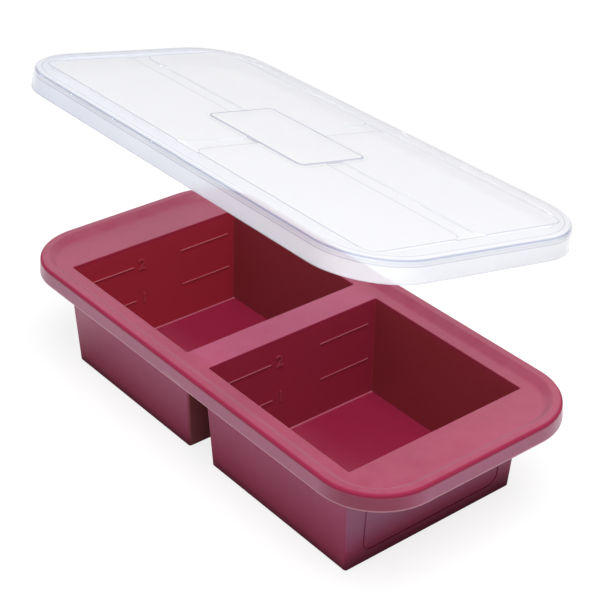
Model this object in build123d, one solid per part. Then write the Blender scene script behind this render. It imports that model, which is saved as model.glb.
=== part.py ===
from build123d import *
import math
import os

# Two-well silicone freezer tray with a wire-stiffened rim and a lift-off lid.
# Millimetres, +Z up, +X along the row of wells, origin on the shelf midway between the wells.

# Wells, measured at the ledge
WELL_LENGTH = 106.0
WELL_WIDTH = 109.0
WELL_DEPTH = 56.8
WELL_DRAFT = 2.85
WELL_CORNER = 0.9
WELL_MOUTH_RADIUS = 0.5
DIVIDER_WIDTH = 17.7
WALL = 2.1
FLOOR = 2.3
FLOOR_RADIUS = 0.7
SHELL_CORNER = 1.5
FOOT_RADIUS = 0.9

# Rim: a flat ledge round the wells, edged by a raised bead
END_LEDGE = 32.6
SIDE_LEDGE = 16.0
RIM_CORNER = 34.0
RIM_DROP = 6.0
RIM_DRAFT = 5.0
LEDGE_THICKNESS = 3.0
BEAD_HEIGHT = 3.4
BEAD_TOP_WIDTH = 5.5
BEAD_BASE_WIDTH = 9.4
BEAD_EDGE_RADIUS = 1.6
BEAD_FOOT_RADIUS = 3.0
BAND_FOOT_RADIUS = 0.8

# Steel wire loop inside the bead
WIRE_DIAMETER = 4.0
WIRE_INSET = 5.0
WIRE_CLEARANCE = 0.05

# Raised fill lines on the wall that faces +X in each well
FILL_LINE_DROPS = (13.6, 34.8)
FILL_LINE_MARGIN = 5.5
FILL_LINE_GAP = 16.0
FILL_LINE_HEIGHT = 0.9
FILL_LINE_PROUD = 0.4
FILL_LINE_ROOT = 0.6

# Bare framed field sunk into the +X end wall
FIELD_SIDE_MARGIN = 9.6
FIELD_FOOT_MARGIN = 6.6
FIELD_HEAD_MARGIN = 7.0
FIELD_CORNER = 6.0
FIELD_GROOVE_WIDTH = 0.9
FIELD_GROOVE_DEPTH = 0.5

# Lid
LID_WALL = 1.2
LID_CLEARANCE = 1.2
LID_SEAT_GAP = 0.3
LID_INNER_RADIUS = 1.0
LID_BAND_MARGIN = 0.8
LID_BAND_STEP = 0.6
LID_PANEL_MARGIN = 1.2
LID_PANEL_RISE = 0.6
LID_PANEL_CORNER = 6.0
LID_CHANNEL_WIDTH = 10.0
PLATE_LENGTH = 78.0
PLATE_WIDTH = 41.0
PLATE_CORNER = 4.0
PLATE_HEIGHT = 1.0
PLATE_EDGE_RADIUS = 0.4

# The lid is stored raised by hand, turned about a line that passes behind and below the rim
LIFT_REACH = 489.0
LIFT_DROP = 38.6
LIFT_TURN = 8.8
LIFT_PITCH = 10.4
LIFT_ANGLE = 10.85

# Worked out from the values above
LEDGE = WELL_DEPTH + FLOOR
CREST = LEDGE + BEAD_HEIGHT
BAND_FOOT = LEDGE - RIM_DROP
BAND_MIDDLE = (BAND_FOOT + CREST) / 2
WELL_PITCH = WELL_LENGTH + DIVIDER_WIDTH
WELL_CENTRES = (-WELL_PITCH / 2, WELL_PITCH / 2)
RIM_LENGTH = WELL_LENGTH + WELL_PITCH + 2 * END_LEDGE
RIM_WIDTH = WELL_WIDTH + 2 * SIDE_LEDGE
WELL_SLOPE = math.tan(math.radians(WELL_DRAFT))
RIM_SLOPE = math.tan(math.radians(RIM_DRAFT))
LID_OVERHANG = LID_CLEARANCE + LID_WALL
LID_LENGTH = RIM_LENGTH + 2 * LID_OVERHANG
LID_WIDTH = RIM_WIDTH + 2 * LID_OVERHANG
LID_CORNER = RIM_CORNER + LID_OVERHANG
LID_TOP = CREST + LID_SEAT_GAP + LID_WALL
LID_BAND_WIDTH = LID_OVERHANG + BEAD_TOP_WIDTH + LID_WALL + LID_BAND_MARGIN
LID_PANEL_INSET = LID_OVERHANG + BEAD_BASE_WIDTH + LID_WALL + LID_PANEL_MARGIN
CUT_OVERRUN = 2.0

os.makedirs("parts", exist_ok=True)


def outline(length, width, corner, inset=0.0):
    """Rounded rectangle, drawn in from its edge by an inset."""
    return RectangleRounded(length - 2 * inset, width - 2 * inset, corner - inset)


def slab(sketch, low, high):
    """Straight block on a sketch between two heights."""
    return Pos(0, 0, low) * extrude(sketch, high - low)


def tapered(low_sketch, low, high_sketch, high):
    """Block with flat sloping sides between two sketches."""
    return loft([Pos(0, 0, low) * low_sketch, Pos(0, 0, high) * high_sketch], ruled=True)


def edges_at(part, height):
    """Edges that lie flat at one height."""
    return part.edges().filter_by_position(Axis.Z, height, height)


def drafted(shape, inset, low, high):
    """Block inside the rim's or the lid's outline, whose sides lean in above the foot of the band."""
    low_sketch = shape(inset + (low - BAND_FOOT) * RIM_SLOPE)
    return tapered(low_sketch, low, shape(inset + (high - BAND_FOOT) * RIM_SLOPE), high)


def rim_outline(inset=0.0):
    return outline(RIM_LENGTH, RIM_WIDTH, RIM_CORNER, inset)


def well_outline(drop, corner=WELL_CORNER, wall=0.0):
    """Well's outline at a depth below the ledge, with an optional wall outside it."""
    inset = drop * WELL_SLOPE - wall
    return RectangleRounded(WELL_LENGTH - 2 * inset, WELL_WIDTH - 2 * inset, corner)


def bead_inset(height):
    """Distance from the rim's edge to the bead's inner slope, at a height over the ledge."""
    return BEAD_BASE_WIDTH + (BEAD_TOP_WIDTH - BEAD_BASE_WIDTH) * height / BEAD_HEIGHT


def make_rim():
    """Ledge plate with the bead above its edge and the band below it."""
    rim = drafted(rim_outline, 0, BAND_FOOT, CREST)
    over = BEAD_HEIGHT + CUT_OVERRUN
    rim -= tapered(rim_outline(BEAD_BASE_WIDTH), LEDGE, rim_outline(bead_inset(over)), LEDGE + over)
    under = rim_outline(BEAD_BASE_WIDTH)
    rim -= slab(under, BAND_FOOT - CUT_OVERRUN, LEDGE - LEDGE_THICKNESS)
    rim = fillet(edges_at(rim, CREST), BEAD_EDGE_RADIUS)
    rim = fillet(edges_at(rim, LEDGE), BEAD_FOOT_RADIUS)
    return fillet(edges_at(rim, BAND_FOOT), BAND_FOOT_RADIUS)


def make_well_shell():
    """Outside of one well, from the shelf up to the ledge."""
    foot = well_outline(LEDGE, SHELL_CORNER, WALL)
    shell = tapered(foot, 0, well_outline(0, SHELL_CORNER, WALL), LEDGE)
    return fillet(edges_at(shell, 0), FOOT_RADIUS)


def make_well_space():
    """Room inside one well, carried on a little above the ledge."""
    space = tapered(well_outline(WELL_DEPTH), FLOOR, well_outline(0), LEDGE)
    space = fillet(edges_at(space, FLOOR), FLOOR_RADIUS)
    return space + slab(well_outline(0), LEDGE, LEDGE + CUT_OVERRUN)


def make_fill_lines():
    """Raised lines on one wall of each well, broken in the middle for a numeral."""
    run = WELL_WIDTH / 2 - FILL_LINE_MARGIN - FILL_LINE_GAP
    depth = FILL_LINE_PROUD + FILL_LINE_ROOT
    bar = Pos((FILL_LINE_PROUD - FILL_LINE_ROOT) / 2, 0, 0) * Box(depth, run, FILL_LINE_HEIGHT)
    lines = []
    for centre in WELL_CENTRES:
        for drop in FILL_LINE_DROPS:
            wall = centre - WELL_LENGTH / 2 + drop * WELL_SLOPE
            for side in (-1, 1):
                middle = side * (FILL_LINE_GAP + run / 2)
                lines.append(Pos(wall, middle, LEDGE - drop) * Rot(0, -WELL_DRAFT, 0) * bar)
    return lines


def make_field_groove():
    """Groove that frames the bare field on the +X end wall, square to the drafted wall."""
    low = FIELD_FOOT_MARGIN
    high = BAND_FOOT - FIELD_HEAD_MARGIN
    middle = (low + high) / 2
    width = WELL_WIDTH + 2 * (WALL - LEDGE * WELL_SLOPE - FIELD_SIDE_MARGIN)
    frame = outline(width, high - low, FIELD_CORNER)
    field = outline(width, high - low, FIELD_CORNER, FIELD_GROOVE_WIDTH)
    wall = WELL_CENTRES[1] + WELL_LENGTH / 2 + WALL - (LEDGE - middle) * WELL_SLOPE
    outward = (1, 0, -WELL_SLOPE)
    face = Plane((wall, 0, middle), x_dir=(0, 1, 0), z_dir=outward)
    return extrude(face * (frame - field), FIELD_GROOVE_DEPTH, both=True)


def make_wire(radius):
    """Round bar bent to the rim's outline, centred in the bead."""
    path = Pos(0, 0, BAND_MIDDLE) * rim_outline(WIRE_INSET).wire()
    start = Plane(path @ 0, z_dir=path % 0)
    return sweep(start * Circle(radius), path=path)


def make_tray():
    """Rim and wells as one moulding, hollow where the wire lies."""
    tray = make_rim() + [Pos(centre, 0, 0) * make_well_shell() for centre in WELL_CENTRES]
    tray -= [Pos(centre, 0, 0) * make_well_space() for centre in WELL_CENTRES]
    mouths = edges_at(tray, LEDGE).filter_by(lambda edge: abs(edge.center().Y) <= WELL_WIDTH / 2)
    tray = fillet(mouths, WELL_MOUTH_RADIUS)
    tray += make_fill_lines()
    return tray - [make_field_groove(), make_wire(WIRE_DIAMETER / 2 + WIRE_CLEARANCE)]


def lid_outline(inset=0.0):
    return outline(LID_LENGTH, LID_WIDTH, LID_CORNER, inset)


def lid_panels(grow):
    """Outlines of the four raised panels, grown on every side."""
    length = (LID_LENGTH - LID_CHANNEL_WIDTH) / 2 - LID_PANEL_INSET
    width = (LID_WIDTH - LID_CHANNEL_WIDTH) / 2 - LID_PANEL_INSET
    panel = RectangleRounded(length + 2 * grow, width + 2 * grow, LID_PANEL_CORNER + grow)
    spots = GridLocations(length + LID_CHANNEL_WIDTH, width + LID_CHANNEL_WIDTH, 2, 2)
    return [spot * panel for spot in spots]


def lid_form(inset, foot):
    """Solid under the lid's top surface, drawn in and down by an inset, with sloping steps."""
    top = LID_TOP - inset
    field = top - LID_BAND_STEP
    over = top + CUT_OVERRUN
    form = drafted(lid_outline, inset, foot, top)
    form = fillet(edges_at(form, top), LID_INNER_RADIUS + LID_WALL - inset)
    sunk = LID_BAND_WIDTH - inset
    form -= tapered(lid_outline(sunk), field, lid_outline(sunk - over + field), over)
    below = field - LID_WALL / 2
    rise = field + LID_PANEL_RISE
    bases = lid_panels(rise - below - inset)
    return form + [tapered(low, below, high, rise) for low, high in zip(bases, lid_panels(-inset))]


def make_lid():
    """Lid as it sits on the rim, its skirt down to the foot of the band."""
    outside = lid_form(0, BAND_FOOT)
    inside = lid_form(LID_WALL, BAND_FOOT - CUT_OVERRUN)
    field = LID_TOP - LID_BAND_STEP
    crown = field + PLATE_HEIGHT
    plate = slab(RectangleRounded(PLATE_LENGTH, PLATE_WIDTH, PLATE_CORNER), field - LID_WALL / 4, crown)
    return outside - inside + fillet(edges_at(plate, crown), PLATE_EDGE_RADIUS)


def lift_axis():
    """Line that the lid turns about on its way up from the rim."""
    turn = math.radians(LIFT_TURN)
    pitch = math.radians(LIFT_PITCH)
    line = Vector(-math.cos(turn) * math.cos(pitch), -math.sin(turn) * math.cos(pitch), -math.sin(pitch))
    back = Vector(-math.sin(turn), math.cos(turn), 0)
    point = Vector(0, 0, BAND_MIDDLE) + back * LIFT_REACH + line.cross(back) * LIFT_DROP
    return Axis(point, line)


def main():
    parts = {
        "tray": make_tray(),
        "rim_frame": make_wire(WIRE_DIAMETER / 2),
        "lid": make_lid().rotate(lift_axis(), LIFT_ANGLE),
    }
    for name, part in parts.items():
        export_step(part, f"parts/{name}.step")
        print(name, part.is_valid, round(part.volume), part.bounding_box())


main()
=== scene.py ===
import math

import bpy
from mathutils import Matrix, Vector


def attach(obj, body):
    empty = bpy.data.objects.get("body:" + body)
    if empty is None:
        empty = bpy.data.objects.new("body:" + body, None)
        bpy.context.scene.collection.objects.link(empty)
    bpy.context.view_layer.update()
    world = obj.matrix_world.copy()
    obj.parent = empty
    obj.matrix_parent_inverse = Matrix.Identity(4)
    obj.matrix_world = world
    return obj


MM = 0.001
WHITE = (1.0, 1.0, 1.0, 1.0)

# Range of a noise that is spread out, and share of a drawn line's half width at full strength.
NOISE_SPAN = (0.3, 0.7)
LINE_CORE = 0.4

# Camera: where it looks, how far off it stands and how it is turned.
CAMERA_TARGET = Vector((-13.61, 21.40, 59.1)) * MM
CAMERA_DISTANCE = 846.2 * MM
CAMERA_AZIMUTH = math.radians(50.434)
CAMERA_ELEVATION = math.radians(31.192)
CAMERA_ROLL = math.radians(1.1086)
CAMERA_LENS = 96.9
CAMERA_SENSOR = 36.0
CAMERA_NEAR = 0.01

# Wells of the tray, with the ledge that their depths are measured from.
WELL_CENTRES = (-61.85 * MM, 61.85 * MM)
WELL_HALF_LENGTH = 53.0 * MM
WELL_HALF_WIDTH = 54.5 * MM
WELL_DRAFT = math.radians(2.85)
WELL_FLOOR = 2.3 * MM
DIVIDER_HALF = 8.85 * MM
LEDGE_HEIGHT = 59.1 * MM

# Fill lines: where each half starts and ends across the well.
FILL_LINE_FROM = 15.5 * MM
FILL_LINE_TO = 49.2 * MM

# Figures, each with the depth of its fill line below the ledge, and the share of painted highlight
# that makes them paler.
NUMERALS = (("2", 13.6 * MM), ("1", 34.8 * MM))
NUMERAL_SIZE = 9.2 * MM
NUMERAL_SHIFT = -10.5 * MM
NUMERAL_PROUD = 0.45 * MM
NUMERAL_ROUNDING = 0.12 * MM
NUMERAL_ROUNDING_STEPS = 2
FIGURE_HIGHLIGHT = 0.05

# Rim of the tray: half sizes and corner of its outline, and the heights of its band.
RIM_HALF = (147.45 * MM, 70.5 * MM, 34.0 * MM)
BAND_FOOT = 53.1 * MM
BAND_TOP = 60.9 * MM

# Lid, seated: half sizes and corners of its outlines, its heights, its skirt and its crown.
LID_HALF = (149.85 * MM, 72.9 * MM, 36.4 * MM)
PANELS_HALF = (135.65 * MM, 58.7 * MM, 6.0 * MM)
PANEL_CENTRE = (70.325 * MM, 31.85 * MM)
PANEL_HALF = (65.325 * MM, 26.85 * MM, 6.0 * MM)
PLATE_HALF = (39.0 * MM, 20.5 * MM, 4.0 * MM)
CHANNEL_HALF = 5.0 * MM
LID_TOP = 64.0 * MM
LID_FOOT = 53.1 * MM
LID_SLOPE = math.tan(math.radians(5.0))
LID_HALF_WALL = 0.6 * MM
LID_ROUNDING = -3.0 * MM

# Turn that brings the raised lid back to its seat on the tray.
LID_AXIS = Vector((-0.971993, -0.150473, -0.180519))
LID_AXIS_POINT = Vector((-0.0679241, 0.4843097, 0.0198341))
LID_ANGLE = math.radians(10.85)

# Tones of the silicone: its body, then painted sheen, reflection, light, shade and highlights, and a
# greyer tone for the gap between the wells.
SILICONE_COLOUR = (0.37, 0.021, 0.078, 1.0)
SILICONE_DEEP = (0.33, 0.017, 0.068, 1.0)
SILICONE_SHEEN = (0.88, 0.85, 1.0, 1.0)
# Painted reflection: a purple-grey for the bright surroundings mirrored in the band and up the outer
# end walls.
SILICONE_PAINTED_REFLECTION = (0.58, 0.33, 0.53, 1.0)
# Painted sheen: a pale tone for the studio's reflection on the rim's top and the floors' near half,
# and painted light on the divider.
SILICONE_PAINTED_SHEEN = (0.67, 0.38, 0.46, 1.0)
# Painted shade: a deeper crimson on the crest's outer rounding and in a line just under the wells'
# mouths.
SILICONE_RIM_SHADE = (0.33, 0.012, 0.062, 1.0)
SILICONE_GAP = (0.45, 0.14, 0.15, 1.0)
# Painted light and shade in the wells: inner walls redder from bounced light, end walls lighter, side
# walls darker in shade.
SILICONE_INSIDE_BOUNCE = (0.33, 0.019, 0.050, 1.0)
SILICONE_INSIDE_END_LIT = (0.42, 0.025, 0.049, 1.0)
SILICONE_INSIDE_SIDE_SHADE = (0.284, 0.026, 0.039, 1.0)
# Painted shade: the wells' floors darker.
SILICONE_FLOOR_SHADE = (0.31, 0.014, 0.053, 1.0)
# Painted light: the outer walls lighter towards the top, most on the ends, and the divider lighter.
SILICONE_LIT = (0.82, 0.06, 0.36, 1.0)
# Painted shade: near black at the outer walls' foot and on the band's front corner.
SILICONE_PAINTED_SHADE = (0.02, 0.004, 0.008, 1.0)
# Painted highlight: a pale pink on the fill lines' upper edges, the floor's corner under them, the
# band's lower edge and the figures.
SILICONE_PAINTED_HIGHLIGHT = (0.80, 0.36, 0.45, 1.0)

# Share of each tone where it is strongest.
PAINTED_SHEEN_ON_RIM = 0.15
PAINTED_SHEEN_ON_FLOORS = 0.16
PAINTED_SHEEN_ON_DIVIDER = 0.17
REFLECTION_ON_BAND = 0.27
REFLECTION_ON_CORNER = 0.10
REFLECTION_ON_ENDS = 0.40
SHADE_ON_CORNER = 0.28
CREST_SHADE_SHARE = 0.90
LIP_SHADE_SHARE = 0.50
GAP_SHARE = 0.80
LIT_ON_WALLS = 0.38
LIT_ON_ENDS = 0.54
LIT_ON_DIVIDER = 0.12
FOOT_SHADE_SHARE = 0.70
HIGHLIGHT_ON_LINES = 0.75
HIGHLIGHT_ON_CORNERS = 0.45
HIGHLIGHT_ON_BAND = 0.65

# Surface of the silicone. A noise has a scale and a detail, a bump a strength and a depth.
CLOUD_SPAN = (0.35, 0.65)
CLOUD_NOISE = (26.0, 3.0)
PATCH_NOISE = (140.0, 3.0)
GRAIN_NOISE = (2600.0, 2.0)
GRAIN_BUMP = (0.12, 0.05 * MM)
PATCH_SHARES = (0.85, 1.15)
SILICONE_ROUGHNESS = (0.34, 0.42)
CREST_ROUGHNESS = 0.8
SILICONE_IOR = 1.41
SHEEN_WEIGHT = 0.1
SHEEN_ROUGHNESS = 0.4

# Spans over which the marks on the rim come in: in from its outline, by height, X and Y.
RIM_INWARD = (-1.6 * MM, -2.6 * MM)
RIM_OUTWARD = (-1.6 * MM, -1.2 * MM)
CREST_OUTWARD = (-2.1 * MM, -1.5 * MM)
RIM_OVER_LEDGE = (LEDGE_HEIGHT - 0.5 * MM, LEDGE_HEIGHT - 0.1 * MM)
BAND_OVER_FOOT = (BAND_FOOT - 0.2 * MM, BAND_FOOT + 0.6 * MM)
BAND_UNDER_TOP = (BAND_TOP, BAND_TOP - 0.8 * MM)
CREST_OVER_BAND = (BAND_TOP - 0.3 * MM, BAND_TOP + 0.1 * MM)
FRONT_CORNER_X = (112.0 * MM, 126.0 * MM)
FRONT_CORNER_Y = (-37.0 * MM, -52.0 * MM)

# Spans over which the marks on the wells come in: behind a wall's inner face.
INNER_SIDE = (1.0 * MM, 0.6 * MM)
OUTER_SIDE = (1.0 * MM, 1.6 * MM)
CLOSE_TO_FACE = (-1.0 * MM, -0.4 * MM)
GAP_BEHIND = (1.2 * MM, 1.8 * MM)
BRIDGE_BEHIND = (-0.5 * MM, 0.0)
BRIDGE_ENDS = (3.0 * MM, -3.0 * MM)

# The same in front of the face with the fill lines: where they start and how far they reach.
LINE_FACE_FROM = (0.05 * MM, 0.2 * MM)
LINE_FACE_TO = (1.2 * MM, 1.0 * MM)

# The same by depth below the ledge, by height and by Y.
WALLS_BELOW_LEDGE = (0.1 * MM, 0.7 * MM)
BRIDGE_NEAR_LEDGE = (0.4 * MM, 0.1 * MM)
GAP_BELOW_LEDGE = (3.2 * MM, 4.0 * MM)
WALLS_OVER_FLOOR = (WELL_FLOOR + 0.2 * MM, WELL_FLOOR + 0.8 * MM)
FLOORS_UNDER = (WELL_FLOOR + 0.3 * MM, WELL_FLOOR + 0.1 * MM)
OUTSIDE_UNDER_BAND = (BAND_FOOT, BAND_FOOT - 0.3 * MM)
END_REFLECTION_RISE = (10.0 * MM, 26.0 * MM)
NEAR_FLOORS_Y = (10.0 * MM, -50.0 * MM)

# Height of the shade at the tray's foot, on its long sides and on its ends.
FOOT_REACH = (6.0 * MM, 12.0 * MM)

# Lines of painted highlight on the silicone, and the lip's line of painted shade: the level that each
# follows and its half width.
BAND_EDGE_LINE = (BAND_FOOT + 0.6 * MM, 0.75 * MM)
LIP_LINE = (1.3 * MM, 1.1 * MM)
FLOOR_EDGE_LINE = (WELL_FLOOR + 0.3 * MM, 0.35 * MM)
FILL_EDGE_RISE = 0.15 * MM
FILL_EDGE_HALF = 0.3 * MM

# Tones and surface of the lid, with its painted reflection and painted shade lines, and how much of
# what is behind it shows through.
LID_COLOUR = (0.80, 0.803, 0.84, 1.0)
# Painted reflection: a cool blue tint for the surroundings seen in the border and skirt.
LID_PAINTED_REFLECTION = (0.67, 0.715, 0.88, 1.0)
# Painted shade: a dark blue-grey for the lines along the lid's edges and steps.
LID_PAINTED_SHADE = (0.17, 0.21, 0.36, 1.0)
LID_BORDER_TINT = 0.5
LID_SKIRT_TINT = 1.0
LID_FAR_TINT = 0.25
LID_TINT_FADE = (1.0, 0.15)
LID_CLOUD_NOISE = (30.0, 2.0)
LID_CLOUD_SHARES = (0.6, 1.0)
LID_FROST_NOISE = (420.0, 2.0)
LID_FROST_BUMP = (0.03, 0.02 * MM)
LID_ROUGHNESS = (0.20, 0.26)
LID_IOR = 1.45
LID_SPECULAR = 0.4
LID_SEE_THROUGH = 0.38
LID_BORDER_SEE_THROUGH = 0.45
LID_FAR_SKIRT_CLEAR = 0.62
LID_FAR_SKIRT_INSIDE_CLEAR = 0.9
LID_LETS_LIGHT = 0.9

# Spans over which the marks on the lid come in: by distance, height, X and Y.
LID_BORDER = (-0.5 * MM, 0.5 * MM)
LID_SKIRT_HEIGHT = (LID_TOP - 1.0 * MM, LID_TOP - 4.0 * MM)
LID_CLEAR_HEIGHT = (LID_TOP - 1.5 * MM, LID_TOP - 2.2 * MM)
LID_FAR_X = (-120.0 * MM, -135.0 * MM)
LID_FAR_Y = (50.0 * MM, 60.0 * MM)
LID_BEHIND_X = (135.0 * MM, 115.0 * MM)
LID_BEHIND_Y = (45.0 * MM, 62.0 * MM)
LID_CORNER_X = (118.0 * MM, 135.0 * MM)
LID_CORNER_Y = (38.0 * MM, 52.0 * MM)
LID_BORDER_Y = (40.0 * MM, 60.0 * MM)
LID_SKIRT_Y = (50.0 * MM, 62.0 * MM)
LID_FADE_X = (-150.0 * MM, 110.0 * MM)

# Lines of painted shade on the lid, along its edges and steps: the level that each follows and its
# half width.
CROWN_LINE = (LID_TOP - 0.7 * MM, 0.6 * MM)
SECOND_LINE = (LID_TOP - 3.1 * MM, 0.45 * MM)
SHADE_HEIGHT = LID_TOP - 1.6 * MM
SHADE_REACH = 1.6 * MM
EDGE_LINE = (-4.8 * MM, 0.35 * MM)
PANELS_LINE = (0.0, 0.45 * MM)
PANELS_INSIDE = -0.8 * MM
DIM_LINE = (-0.3 * MM, 0.6 * MM)
BRIGHT_LINE = (0.3 * MM, 0.7 * MM)
PLATE_LINE = (-0.5 * MM, 0.8 * MM)
OUTER_PLATE_LINE = (2.0 * MM, 0.6 * MM)
FOOT_LINE = (LID_FOOT, 0.5 * MM)

# Strength of those lines. A pair is for the near sides and for the far side.
CROWN_STRENGTHS = (0.9, 0.3)
SHADE_STRENGTHS = (0.3, 0.1)
SECOND_STRENGTHS = (0.4, 0.1)
CORNER_STRENGTH = 0.8
EDGE_STRENGTH = 0.4
PANELS_STRENGTH = 0.5
DIM_STRENGTH = 0.3
BRIGHT_STRENGTH = 0.2
PLATE_STRENGTH = 0.75
OUTER_PLATE_STRENGTH = 0.12
FOOT_STRENGTH = 0.3

# Steel wire inside the bead.
STEEL_COLOUR = (0.62, 0.62, 0.60, 1.0)
STEEL_NOISE = (900.0, 4.0)
STEEL_BUMP = (0.1, 0.02 * MM)
STEEL_ROUGHNESS = (0.25, 0.42)

# Floor: its tones, how far from the tray its mirrored glow and its white come in, and half sizes
# and corner of the tray's foot.
FLOOR_SIZE = 8.0
FLOOR_GAP = 0.2 * MM
FLOOR_COLOUR = (0.27, 0.27, 0.27, 1.0)
FLOOR_GLOW = 0.80
FLOOR_MIRRORED = 1.5
FLOOR_MIRRORED_SPAN = (2.0 * MM, 50.0 * MM)
FLOOR_WHITE_SPAN = (0.3, 0.9)
FOOT_HALF = (114.0 * MM, 54.0 * MM, 5.0 * MM)

# World: its strength as a light, and as a background.
WORLD_STRENGTHS = (0.32, 1.0)

# Lamps: what they aim at, and the narrow spread of those that light only the lid's skirt.
TRAY_AIM = (0.0, 0.0, 0.05)
LID_AIM = (0.0, 0.0, 0.16)
BACK_AIM = (0.0, 0.05, 0.12)
NARROW = math.radians(5.0)

# Sockets of a Mix node that take and give colours.
MIX_FACTOR = 0
MIX_FIRST = 6
MIX_SECOND = 7
MIX_RESULT = 2


class Nodes:
    """The node tree of a material or a world, with short ways to add and join nodes."""

    def __init__(self, owner, output="ShaderNodeOutputMaterial"):
        owner.use_nodes = True
        self.owner = owner
        self.tree = owner.node_tree
        self.tree.nodes.clear()
        self.output = self.tree.nodes.new(output)

    def add(self, kind, settings=None, **inputs):
        node = self.tree.nodes.new(kind)
        for name, value in (settings or {}).items():
            setattr(node, name, value)
        for name, value in inputs.items():
            self.feed(node.inputs[name.replace("_", " ")], value)
        return node

    def feed(self, socket, value):
        if isinstance(value, bpy.types.NodeSocket):
            self.tree.links.new(value, socket)
        else:
            socket.default_value = value

    def place(self):
        return self.add("ShaderNodeTexCoord").outputs["Object"]

    def axes(self, place):
        return self.add("ShaderNodeSeparateXYZ", Vector=place).outputs

    def maths(self, operation, *values):
        node = self.add("ShaderNodeMath", {"operation": operation})
        for socket, value in zip(node.inputs, values):
            self.feed(socket, value)
        return node.outputs[0]

    def noise(self, place, scale, detail):
        node = self.add("ShaderNodeTexNoise", Vector=place, Scale=scale, Detail=detail)
        return node.outputs["Fac"]

    def ramp(self, value, low, high, to_low=0.0, to_high=1.0):
        node = self.add("ShaderNodeMapRange")
        for socket, given in zip(node.inputs, (value, low, high, to_low, to_high)):
            self.feed(socket, given)
        return node.outputs["Result"]

    def choose(self, mark, unmarked, marked):
        """One value where a mark is 0, another where it is 1."""
        return self.ramp(mark, 0.0, 1.0, unmarked, marked)

    def mix(self, factor, first, second):
        node = self.add("ShaderNodeMix", {"data_type": "RGBA"})
        self.feed(node.inputs[MIX_FACTOR], factor)
        self.feed(node.inputs[MIX_FIRST], first)
        self.feed(node.inputs[MIX_SECOND], second)
        return node.outputs[MIX_RESULT]

    def mix_shaders(self, factor, first, second):
        node = self.add("ShaderNodeMixShader", Fac=factor)
        self.feed(node.inputs[1], first.outputs[0])
        self.feed(node.inputs[2], second.outputs[0])
        return node

    def inside_of(self, axes, shape):
        """Distance from a rounded rectangle about the origin, below 0 inside it."""
        half_x, half_y, corner = shape
        over_x = self.maths("SUBTRACT", self.maths("ABSOLUTE", axes["X"]), half_x - corner)
        over_y = self.maths("SUBTRACT", self.maths("ABSOLUTE", axes["Y"]), half_y - corner)
        far_x = self.maths("POWER", self.maths("MAXIMUM", over_x, 0.0), 2.0)
        far_y = self.maths("POWER", self.maths("MAXIMUM", over_y, 0.0), 2.0)
        far = self.maths("SQRT", self.maths("ADD", far_x, far_y))
        near = self.maths("MINIMUM", self.maths("MAXIMUM", over_x, over_y), 0.0)
        return self.maths("SUBTRACT", self.maths("ADD", far, near), corner)

    def line(self, value, at, half_width):
        """1 where the value is at a level, fading to 0 over the half width."""
        off = self.maths("ABSOLUTE", self.maths("SUBTRACT", value, at))
        return self.ramp(off, half_width, half_width * LINE_CORE)

    def all_of(self, *marks):
        """1 only where every one of several marks is 1."""
        total = marks[0]
        for mark in marks[1:]:
            total = self.maths("MULTIPLY", total, mark)
        return total

    def heaviest(self, *marks):
        """The strongest of several marks at each point, each with its own strength."""
        total = 0.0
        for mark, strength in marks:
            total = self.maths("MAXIMUM", total, self.maths("MULTIPLY", mark, strength))
        return total

    def bump(self, height, strength, depth):
        node = self.add("ShaderNodeBump", Strength=strength, Distance=depth, Height=height)
        return node.outputs["Normal"]

    def finish(self, shader):
        self.tree.links.new(shader.outputs[0], self.output.inputs["Surface"])
        return self.owner


def rim_tones(nodes, axes):
    """Marks for painted sheen, reflection, shade and highlight on the rim's top, band, front corner,
    crest and lower edge.
    """
    height = axes["Z"]
    rim = nodes.inside_of(axes, RIM_HALF)
    outward = nodes.ramp(rim, *RIM_OUTWARD)
    band = nodes.all_of(
        outward,
        nodes.ramp(height, *BAND_OVER_FOOT),
        nodes.ramp(height, *BAND_UNDER_TOP),
    )
    corner = nodes.all_of(
        nodes.ramp(axes["X"], *FRONT_CORNER_X),
        nodes.ramp(axes["Y"], *FRONT_CORNER_Y),
    )
    return {
        "top": nodes.all_of(nodes.ramp(rim, *RIM_INWARD), nodes.ramp(height, *RIM_OVER_LEDGE)),
        "band": band,
        "corner": nodes.all_of(band, corner),
        "crest": nodes.all_of(
            nodes.ramp(rim, *CREST_OUTWARD),
            nodes.ramp(height, *CREST_OVER_BAND),
        ),
        "lower_edge": nodes.all_of(outward, nodes.line(height, *BAND_EDGE_LINE)),
    }


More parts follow.
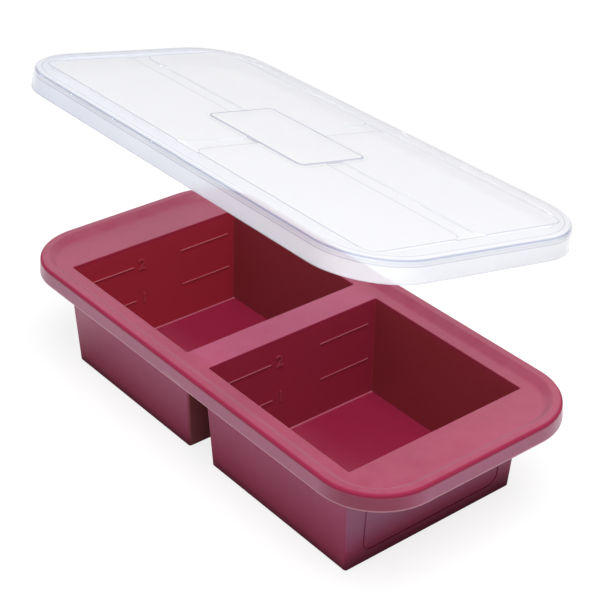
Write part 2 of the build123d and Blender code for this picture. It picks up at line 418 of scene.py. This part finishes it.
def wall_tones(nodes, axes):
    """Marks for painted light and shade on the wells' inner walls, floors and divider and on the
    outer walls, and for the gap between the wells.
    """
    height = axes["Z"]
    drop = nodes.maths("SUBTRACT", LEDGE_HEIGHT, height)
    lean = nodes.maths("MULTIPLY", drop, math.tan(WELL_DRAFT))
    along = nodes.maths("ABSOLUTE", axes["X"])
    across = nodes.maths("ABSOLUTE", axes["Y"])
    # How far a point lies behind the inner face of an end wall, a side wall and the divider.
    end_face = WELL_CENTRES[1] + WELL_HALF_LENGTH
    end = nodes.maths("ADD", nodes.maths("SUBTRACT", along, end_face), lean)
    side = nodes.maths("ADD", nodes.maths("SUBTRACT", across, WELL_HALF_WIDTH), lean)
    divider = nodes.maths("SUBTRACT", nodes.maths("ADD", lean, DIVIDER_HALF), along)
    shell = nodes.maths("MAXIMUM", end, side)
    inner = nodes.ramp(nodes.maths("MAXIMUM", shell, divider), *INNER_SIDE)
    walls = nodes.all_of(
        inner,
        nodes.ramp(height, *WALLS_OVER_FLOOR),
        nodes.ramp(drop, *WALLS_BELOW_LEDGE),
    )
    floors = nodes.all_of(inner, nodes.ramp(height, *FLOORS_UNDER))
    outer = nodes.all_of(nodes.ramp(shell, *OUTER_SIDE), nodes.ramp(height, *OUTSIDE_UNDER_BAND))
    at_end = nodes.ramp(end, *OUTER_SIDE)
    bridge = nodes.all_of(
        nodes.ramp(divider, *BRIDGE_BEHIND),
        nodes.ramp(side, *BRIDGE_ENDS),
        nodes.ramp(drop, *BRIDGE_NEAR_LEDGE),
    )
    light = nodes.choose(at_end, LIT_ON_WALLS, LIT_ON_ENDS)
    shade_reach = nodes.choose(at_end, *FOOT_REACH)
    return {
        "walls": walls,
        "end_walls": nodes.all_of(walls, nodes.ramp(end, *CLOSE_TO_FACE)),
        "side_walls": nodes.all_of(walls, nodes.ramp(side, *CLOSE_TO_FACE)),
        "floors": floors,
        "near_floors": nodes.all_of(floors, nodes.ramp(axes["Y"], *NEAR_FLOORS_Y)),
        "gap": nodes.all_of(
            nodes.ramp(divider, *GAP_BEHIND),
            nodes.ramp(drop, *GAP_BELOW_LEDGE),
            GAP_SHARE,
        ),
        "divider": bridge,
        "lip": nodes.all_of(inner, nodes.line(drop, *LIP_LINE), LIP_SHADE_SHARE),
        "lit": nodes.heaviest(
            (nodes.all_of(outer, nodes.ramp(height, 0.0, BAND_FOOT)), light),
            (bridge, LIT_ON_DIVIDER),
        ),
        "end_reflection": nodes.all_of(outer, at_end, nodes.ramp(height, *END_REFLECTION_RISE)),
        # Painted shade at the foot of the outer walls.
        "foot": nodes.all_of(outer, nodes.ramp(height, shade_reach, 0.0), FOOT_SHADE_SHARE),
    }


def fill_line_highlights(nodes, axes):
    """Mark for painted highlights on the upper edges of the fill lines and on the floor's corner
    below them.
    """
    height = axes["Z"]
    in_right_well = nodes.maths("GREATER_THAN", axes["X"], 0.0)
    well_centre = nodes.choose(in_right_well, *WELL_CENTRES)
    from_centre = nodes.maths("SUBTRACT", axes["X"], well_centre)
    along = nodes.maths("ADD", from_centre, WELL_HALF_LENGTH)
    drop = nodes.maths("SUBTRACT", LEDGE_HEIGHT, height)
    lean = nodes.maths("MULTIPLY", drop, math.tan(WELL_DRAFT))
    proud = nodes.maths("SUBTRACT", along, lean)
    near = nodes.all_of(nodes.ramp(proud, *LINE_FACE_FROM), nodes.ramp(proud, *LINE_FACE_TO))
    across = nodes.maths("ABSOLUTE", axes["Y"])
    ridge = nodes.all_of(
        near,
        nodes.maths("GREATER_THAN", across, FILL_LINE_FROM),
        nodes.maths("LESS_THAN", across, FILL_LINE_TO),
    )
    edges = [
        (nodes.all_of(ridge, nodes.line(drop, depth - FILL_EDGE_RISE, FILL_EDGE_HALF)), HIGHLIGHT_ON_LINES)
        for _, depth in NUMERALS
    ]
    corner = nodes.all_of(near, nodes.line(height, *FLOOR_EDGE_LINE))
    return nodes.heaviest(*edges, (corner, HIGHLIGHT_ON_CORNERS))


def make_silicone(name, highlight=0.0):
    """Satin silicone, with painted sheen, reflection, light, shade and highlights on the tray's rim,
    walls and raised lines.
    """
    nodes = Nodes(bpy.data.materials.new(name))
    place = nodes.place()
    clouds = nodes.noise(place, *CLOUD_NOISE)
    patch_noise = nodes.noise(place, *PATCH_NOISE)
    grain = nodes.noise(place, *GRAIN_NOISE)
    axes = nodes.axes(place)
    walls = wall_tones(nodes, axes)
    rim = rim_tones(nodes, axes)
    # Patches of this noise make the painted sheen and painted reflection stronger or weaker; it also
    # varies the roughness.
    patches = nodes.ramp(patch_noise, *NOISE_SPAN, *PATCH_SHARES)
    # Painted sheen on the rim's top and the floors' near half, and painted light on the divider.
    painted_sheen = nodes.heaviest(
        (rim["top"], PAINTED_SHEEN_ON_RIM),
        (walls["divider"], PAINTED_SHEEN_ON_DIVIDER),
        (walls["near_floors"], PAINTED_SHEEN_ON_FLOORS),
    )
    # Painted reflection on the band, weaker at its front corner, and rising up the outer end walls.
    on_band = nodes.choose(rim["corner"], REFLECTION_ON_BAND, REFLECTION_ON_CORNER)
    reflected = nodes.heaviest((rim["band"], on_band), (walls["end_reflection"], REFLECTION_ON_ENDS))
    # Painted shade at the foot of the outer walls and on the band's front corner.
    dark = nodes.heaviest((walls["foot"], 1.0), (rim["corner"], SHADE_ON_CORNER))
    # Painted highlights on the fill lines, the floor's corner and the band's lower edge.
    lines = nodes.heaviest((fill_line_highlights(nodes, axes), 1.0), (rim["lower_edge"], HIGHLIGHT_ON_BAND))
    # Painted light and shade, and the gap's tone, laid one over another on the body's colour.
    layers = (
        # Painted shade on the floors, painted bounced light on the inner walls, more light on the end
        # walls and shade on the side walls.
        (walls["floors"], SILICONE_FLOOR_SHADE),
        (walls["walls"], SILICONE_INSIDE_BOUNCE),
        (walls["end_walls"], SILICONE_INSIDE_END_LIT),
        (walls["side_walls"], SILICONE_INSIDE_SIDE_SHADE),
        # Painted shade in a line just under the wells' mouths.
        (walls["lip"], SILICONE_RIM_SHADE),
        (walls["gap"], SILICONE_GAP),
        # Painted light up the outer walls and on the divider.
        (walls["lit"], SILICONE_LIT),
        (nodes.all_of(painted_sheen, patches), SILICONE_PAINTED_SHEEN),
        (nodes.all_of(reflected, patches), SILICONE_PAINTED_REFLECTION),
        (dark, SILICONE_PAINTED_SHADE),
        # Painted shade on the crest's outer rounding.
        (nodes.all_of(rim["crest"], CREST_SHADE_SHARE), SILICONE_RIM_SHADE),
        # Painted highlight, over all of a figure by its share.
        (nodes.maths("MAXIMUM", lines, highlight), SILICONE_PAINTED_HIGHLIGHT),
    )
    colour = nodes.mix(nodes.ramp(clouds, *CLOUD_SPAN), SILICONE_DEEP, SILICONE_COLOUR)
    for mark, tone in layers:
        colour = nodes.mix(mark, colour, tone)
    roughness = nodes.heaviest(
        (nodes.ramp(patch_noise, *NOISE_SPAN, *SILICONE_ROUGHNESS), 1.0),
        (rim["crest"], CREST_ROUGHNESS),
    )
    shader = nodes.add(
        "ShaderNodeBsdfPrincipled",
        Base_Color=colour,
        Roughness=roughness,
        IOR=SILICONE_IOR,
        Sheen_Weight=SHEEN_WEIGHT,
        Sheen_Roughness=SHEEN_ROUGHNESS,
        Sheen_Tint=SILICONE_SHEEN,
        Normal=nodes.bump(grain, *GRAIN_BUMP),
    )
    return nodes.finish(shader)


def lid_shade_lines(nodes, axes, edge, panels):
    """Mark for the thin lines of painted shade on the lid: round its crown, panels, plate and foot.
    """
    height = axes["Z"]
    plate = nodes.inside_of(axes, PLATE_HALF)
    rounding = nodes.maths("GREATER_THAN", edge, LID_ROUNDING)
    crown = nodes.all_of(nodes.line(height, *CROWN_LINE), rounding)
    second = nodes.all_of(nodes.line(height, *SECOND_LINE), rounding)
    fall = nodes.maths("ABSOLUTE", nodes.maths("SUBTRACT", height, SHADE_HEIGHT))
    shade = nodes.all_of(nodes.ramp(fall, SHADE_REACH, 0.0), rounding)
    # The four panels lie alike about the middle, so one of them stands for all.
    folded = {
        axis: nodes.maths("SUBTRACT", nodes.maths("ABSOLUTE", axes[axis]), centre)
        for axis, centre in zip("XY", PANEL_CENTRE)
    }
    panel = nodes.inside_of(folded, PANEL_HALF)
    # The channels' walls that face +X and -Y catch the light, so only a faint line shows on them.
    bright = nodes.maths(
        "MAXIMUM",
        nodes.line(axes["X"], -CHANNEL_HALF, CHANNEL_HALF),
        nodes.line(axes["Y"], CHANNEL_HALF, CHANNEL_HALF),
    )
    dim = nodes.maths("SUBTRACT", 1.0, bright)
    channels = nodes.all_of(
        nodes.maths("LESS_THAN", panels, PANELS_INSIDE),
        nodes.maths("GREATER_THAN", plate, 0.0),
    )
    behind = nodes.all_of(
        nodes.ramp(axes["Y"], *LID_BEHIND_Y),
        nodes.ramp(axes["X"], *LID_BEHIND_X),
    )
    corner = nodes.all_of(
        nodes.ramp(axes["X"], *LID_CORNER_X),
        nodes.ramp(axes["Y"], *LID_CORNER_Y),
    )
    return nodes.heaviest(
        (crown, nodes.choose(behind, *CROWN_STRENGTHS)),
        (shade, nodes.choose(behind, *SHADE_STRENGTHS)),
        (second, nodes.choose(behind, *SECOND_STRENGTHS)),
        (nodes.all_of(shade, corner), CORNER_STRENGTH),
        (nodes.line(edge, *EDGE_LINE), EDGE_STRENGTH),
        (nodes.line(panels, *PANELS_LINE), PANELS_STRENGTH),
        (nodes.all_of(nodes.line(panel, *DIM_LINE), dim, channels), DIM_STRENGTH),
        (nodes.all_of(nodes.line(panel, *BRIGHT_LINE), bright, channels), BRIGHT_STRENGTH),
        (nodes.line(plate, *PLATE_LINE), PLATE_STRENGTH),
        (nodes.line(plate, *OUTER_PLATE_LINE), OUTER_PLATE_STRENGTH),
        (nodes.line(height, *FOOT_LINE), FOOT_STRENGTH),
    )


def lid_tone(nodes, place, axes, border):
    """The lid's tone between its lines: clear, with a painted cool reflection on its border and skirt
    that fades towards +X and the far side.
    """
    skirt = nodes.ramp(axes["Z"], *LID_SKIRT_HEIGHT)
    skirt_tint = nodes.ramp(axes["Y"], *LID_SKIRT_Y, LID_SKIRT_TINT, LID_FAR_TINT)
    border_tint = nodes.ramp(axes["Y"], *LID_BORDER_Y, LID_BORDER_TINT, LID_FAR_TINT)
    tint = nodes.heaviest((skirt, skirt_tint), (border, border_tint))
    fade = nodes.ramp(axes["X"], *LID_FADE_X, *LID_TINT_FADE)
    clouds = nodes.ramp(nodes.noise(place, *LID_CLOUD_NOISE), *NOISE_SPAN, *LID_CLOUD_SHARES)
    return nodes.mix(nodes.all_of(tint, fade, clouds), LID_COLOUR, LID_PAINTED_REFLECTION)


def lid_clearness(nodes, axes, edge, border):
    """Share of what is behind the lid that shows through it, most at its far skirt."""
    height = axes["Z"]
    rays = nodes.add("ShaderNodeLightPath").outputs
    lighting = nodes.maths("MAXIMUM", rays["Is Shadow Ray"], rays["Is Diffuse Ray"])
    see_through = nodes.choose(border, LID_SEE_THROUGH, LID_BORDER_SEE_THROUGH)
    far = nodes.maths(
        "MAXIMUM",
        nodes.ramp(axes["X"], *LID_FAR_X),
        nodes.ramp(axes["Y"], *LID_FAR_Y),
    )
    far_skirt = nodes.all_of(nodes.ramp(height, *LID_CLEAR_HEIGHT), far)
    lean = nodes.maths("MULTIPLY", nodes.maths("SUBTRACT", height, LID_FOOT), LID_SLOPE)
    depth = nodes.maths("ADD", edge, lean)
    inside_skirt = nodes.all_of(far_skirt, nodes.maths("LESS_THAN", depth, -LID_HALF_WALL))
    return nodes.heaviest(
        (see_through, 1.0),
        (lighting, LID_LETS_LIGHT),
        (far_skirt, LID_FAR_SKIRT_CLEAR),
        (inside_skirt, LID_FAR_SKIRT_INSIDE_CLEAR),
    )


def make_lid_plastic():
    """Thin clear plastic, marked in the place that the lid takes when it is seated."""
    nodes = Nodes(bpy.data.materials.new("clear_lid_plastic"))
    seated = nodes.add(
        "ShaderNodeVectorRotate",
        {"rotation_type": "AXIS_ANGLE"},
        Vector=nodes.place(),
        Center=LID_AXIS_POINT,
        Axis=LID_AXIS,
        Angle=-LID_ANGLE,
    ).outputs[0]
    axes = nodes.axes(seated)
    edge = nodes.inside_of(axes, LID_HALF)
    panels = nodes.inside_of(axes, PANELS_HALF)
    border = nodes.ramp(panels, *LID_BORDER)
    tone = lid_tone(nodes, seated, axes, border)
    frost = nodes.noise(seated, *LID_FROST_NOISE)
    plastic = nodes.add(
        "ShaderNodeBsdfPrincipled",
        # Painted shade lines over the tone.
        Base_Color=nodes.mix(lid_shade_lines(nodes, axes, edge, panels), tone, LID_PAINTED_SHADE),
        Roughness=nodes.ramp(frost, *NOISE_SPAN, *LID_ROUGHNESS),
        IOR=LID_IOR,
        Specular_IOR_Level=LID_SPECULAR,
        Normal=nodes.bump(frost, *LID_FROST_BUMP),
    )
    clear = nodes.add("ShaderNodeBsdfTransparent", Color=WHITE)
    return nodes.finish(nodes.mix_shaders(lid_clearness(nodes, axes, edge, border), plastic, clear))


def make_steel():
    """Drawn wire, with streaks that vary its gloss."""
    nodes = Nodes(bpy.data.materials.new("drawn_steel_wire"))
    streaks = nodes.noise(nodes.place(), *STEEL_NOISE)
    shader = nodes.add(
        "ShaderNodeBsdfPrincipled",
        Base_Color=STEEL_COLOUR,
        Metallic=1.0,
        Roughness=nodes.ramp(streaks, *NOISE_SPAN, *STEEL_ROUGHNESS),
        Normal=nodes.bump(streaks, *STEEL_BUMP),
    )
    return nodes.finish(shader)


def make_numeral(figure, drop, well, silicone):
    """A raised figure in the gap of a fill line, on the well's wall that faces +X."""
    curve = bpy.data.curves.new("figure", "FONT")
    curve.body = figure
    curve.align_x = "CENTER"
    curve.align_y = "CENTER"
    curve.size = NUMERAL_SIZE
    curve.extrude = NUMERAL_PROUD
    curve.bevel_depth = NUMERAL_ROUNDING
    curve.bevel_resolution = NUMERAL_ROUNDING_STEPS
    text = bpy.data.objects.new("figure", curve)
    bpy.context.collection.objects.link(text)
    bpy.context.view_layer.update()
    name = f"numeral_{well}_{figure}"
    piece = bpy.data.objects.new(name, bpy.data.meshes.new_from_object(text))
    bpy.data.objects.remove(text)
    bpy.context.collection.objects.link(piece)
    wall = WELL_CENTRES[well] - WELL_HALF_LENGTH + drop * math.tan(WELL_DRAFT)
    across = Vector((0.0, 1.0, 0.0))
    up = Vector((-math.sin(WELL_DRAFT), 0.0, math.cos(WELL_DRAFT)))
    turn = Matrix((across, up, across.cross(up))).transposed().to_4x4()
    # The mesh itself is set in the tray's frame, so that the silicone's tones fall right on it.
    piece.data.transform(Matrix.Translation((wall, NUMERAL_SHIFT, LEDGE_HEIGHT - drop)) @ turn)
    piece.data.shade_flat()
    piece.data.materials.clear()
    piece.data.materials.append(silicone)
    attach(piece, "tray")


def make_floor():
    """Pale floor, lit and shaded near the object and running out to white."""
    bpy.ops.mesh.primitive_plane_add(size=FLOOR_SIZE, location=(0.0, 0.0, -FLOOR_GAP))
    floor = bpy.context.object
    floor.name = "floor"
    nodes = Nodes(bpy.data.materials.new("pale_floor"))
    away = nodes.inside_of(nodes.axes(nodes.place()), FOOT_HALF)
    rays = nodes.add("ShaderNodeLightPath").outputs
    seen = nodes.maths("MAXIMUM", rays["Is Camera Ray"], rays["Is Transmission Ray"])
    reach = nodes.ramp(away, *FLOOR_MIRRORED_SPAN, 0.0, FLOOR_MIRRORED)
    mirrored = nodes.maths("MULTIPLY", rays["Is Glossy Ray"], reach)
    strength = nodes.maths("MAXIMUM", nodes.maths("MULTIPLY", seen, FLOOR_GLOW), mirrored)
    lit = nodes.add("ShaderNodeBsdfDiffuse", Color=FLOOR_COLOUR)
    glow = nodes.add("ShaderNodeEmission", Color=WHITE, Strength=strength)
    near = nodes.add("ShaderNodeAddShader")
    nodes.feed(near.inputs[0], lit.outputs[0])
    nodes.feed(near.inputs[1], glow.outputs[0])
    white = nodes.add("ShaderNodeEmission", Color=WHITE, Strength=1.0)
    seen_or_mirrored = nodes.maths("MAXIMUM", seen, rays["Is Glossy Ray"])
    far = nodes.all_of(nodes.ramp(away, *FLOOR_WHITE_SPAN), seen_or_mirrored)
    floor.data.materials.append(nodes.finish(nodes.mix_shaders(far, near, white)))


def make_world():
    """White as a background, in mirrors and through glass, and dimmer as a light."""
    world = bpy.data.worlds.new("studio")
    bpy.context.scene.world = world
    nodes = Nodes(world, "ShaderNodeOutputWorld")
    rays = nodes.add("ShaderNodeLightPath").outputs
    seen = nodes.maths("ADD", rays["Is Camera Ray"], rays["Is Glossy Ray"])
    seen_or_through = nodes.maths("ADD", seen, rays["Is Transmission Ray"])
    strength = nodes.choose(seen_or_through, *WORLD_STRENGTHS)
    nodes.finish(nodes.add("ShaderNodeBackground", Color=WHITE, Strength=strength))


def make_lamp(name, place, aim, size, power, spread=math.pi, mirrored=True):
    """A rectangular lamp, with its place and size in metres and its power in watts."""
    data = bpy.data.lights.new(name, "AREA")
    data.shape = "RECTANGLE"
    data.size, data.size_y = size
    data.energy = power
    data.spread = spread
    lamp = bpy.data.objects.new(name, data)
    bpy.context.collection.objects.link(lamp)
    lamp.visible_glossy = mirrored
    lamp.location = place
    lamp.rotation_euler = (Vector(aim) - Vector(place)).to_track_quat("-Z", "Y").to_euler()


def make_lamps():
    """Soft light from above, in front and behind, and two thin beams on the lid's skirt."""
    make_lamp("overhead", place=(0.45, -0.2, 1.35), aim=TRAY_AIM, size=(1.0, 1.0), power=17.2)
    make_lamp("front", place=(-0.6, -1.3, 0.55), aim=TRAY_AIM, size=(2.0, 1.0), power=2.2)
    make_lamp(
        "back",
        place=(-0.2, 1.2, 0.75),
        aim=BACK_AIM,
        size=(1.6, 0.8),
        power=1.6,
        mirrored=False,
    )
    make_lamp(
        "lid_front",
        place=(0.0, -0.95, 0.16),
        aim=LID_AIM,
        size=(0.9, 0.06),
        power=0.054,
        spread=NARROW,
        mirrored=False,
    )
    make_lamp(
        "lid_end",
        place=(1.0, 0.0, 0.16),
        aim=LID_AIM,
        size=(0.5, 0.06),
        power=0.042,
        spread=NARROW,
        mirrored=False,
    )


def make_camera():
    """The camera, turned about its target and then rolled."""
    data = bpy.data.cameras.new("camera")
    data.lens = CAMERA_LENS
    data.sensor_width = CAMERA_SENSOR
    data.clip_start = CAMERA_NEAR
    camera = bpy.data.objects.new("camera", data)
    bpy.context.collection.objects.link(camera)
    level = math.cos(CAMERA_ELEVATION)
    back = Vector(
        (
            math.sin(CAMERA_AZIMUTH) * level,
            -math.cos(CAMERA_AZIMUTH) * level,
            math.sin(CAMERA_ELEVATION),
        )
    )
    right = Vector((math.cos(CAMERA_AZIMUTH), math.sin(CAMERA_AZIMUTH), 0.0))
    up = back.cross(right)
    turned_right = right * math.cos(CAMERA_ROLL) + up * math.sin(CAMERA_ROLL)
    turned_up = up * math.cos(CAMERA_ROLL) - right * math.sin(CAMERA_ROLL)
    turn = Matrix((turned_right, turned_up, back)).transposed().to_4x4()
    place = CAMERA_TARGET + back * CAMERA_DISTANCE
    camera.matrix_world = Matrix.Translation(place) @ turn
    bpy.context.scene.camera = camera


def dress(node, material):
    """Gives a node of the frame its material."""
    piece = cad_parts[node]
    piece.data.materials.clear()
    piece.data.materials.append(material)


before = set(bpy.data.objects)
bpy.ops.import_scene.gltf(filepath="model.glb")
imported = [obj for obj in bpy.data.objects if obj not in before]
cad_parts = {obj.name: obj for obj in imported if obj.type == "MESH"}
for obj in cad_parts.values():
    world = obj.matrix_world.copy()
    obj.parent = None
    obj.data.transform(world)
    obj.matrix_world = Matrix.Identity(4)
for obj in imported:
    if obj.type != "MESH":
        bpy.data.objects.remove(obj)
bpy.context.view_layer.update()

figure_silicone = make_silicone("silicone_figures", FIGURE_HIGHLIGHT)
dress("tray", make_silicone("moulded_silicone"))
dress("lid", make_lid_plastic())
dress("rim_frame", make_steel())

for well in range(len(WELL_CENTRES)):
    for figure, drop in NUMERALS:
        make_numeral(figure, drop, well, figure_silicone)

make_floor()
make_world()
make_lamps()
make_camera()

bpy.context.scene.view_settings.view_transform = "Standard"
